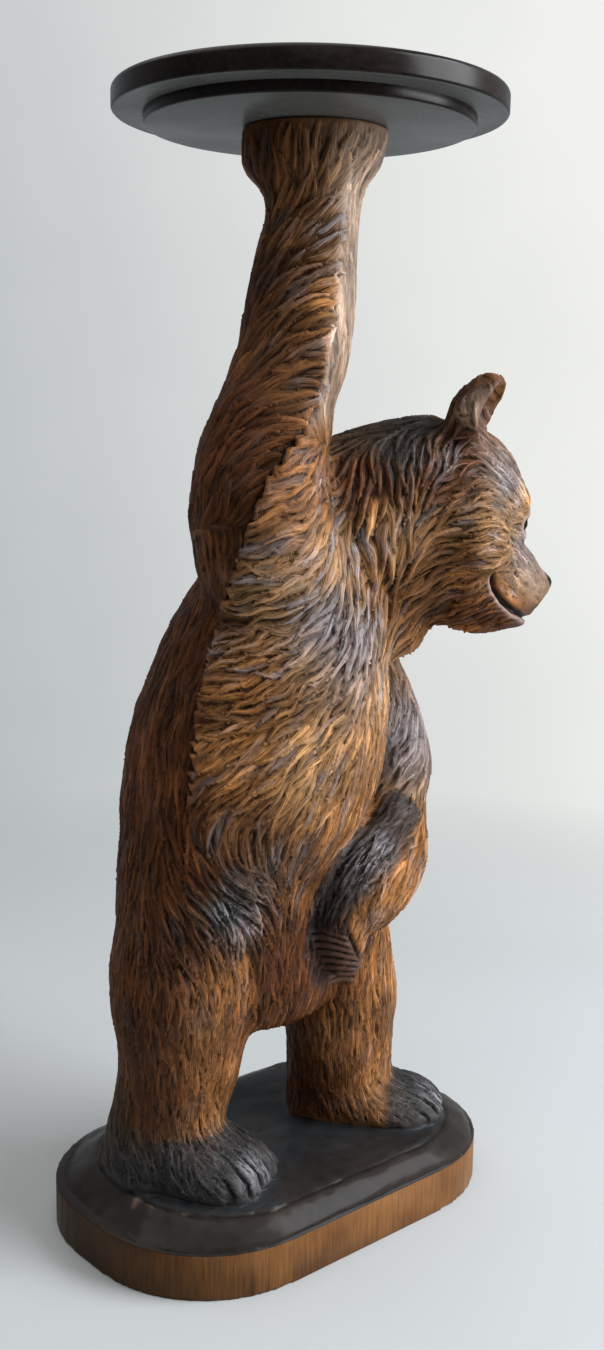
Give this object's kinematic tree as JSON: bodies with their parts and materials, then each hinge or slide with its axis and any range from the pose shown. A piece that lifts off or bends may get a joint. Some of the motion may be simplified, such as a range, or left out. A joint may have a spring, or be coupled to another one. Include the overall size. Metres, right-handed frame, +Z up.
{
  "type": "carved bear stand",
  "caption": "Carved wooden bear standing upright on a rounded plinth, one arm raised to carry a round turned plate, the other bent across its belly.",
  "frame": {"origin": "centre of the plinth's flat underside", "axes": "+Z up, from the plinth to the plate; the plinth is longest along X; the bear's chest faces halfway between +X and -Y"},
  "size_m": [0.2587, 0.202, 0.6],
  "materials": {
    "stained_carved_wood": "satin varnish over brown stain",
    "dark_turned_wood": "satin, near-black stain"
  },
  "bodies": {
    "root": {"carved_bear": "stained_carved_wood", "top_plate": "dark_turned_wood"}
  },
  "joints": []
}
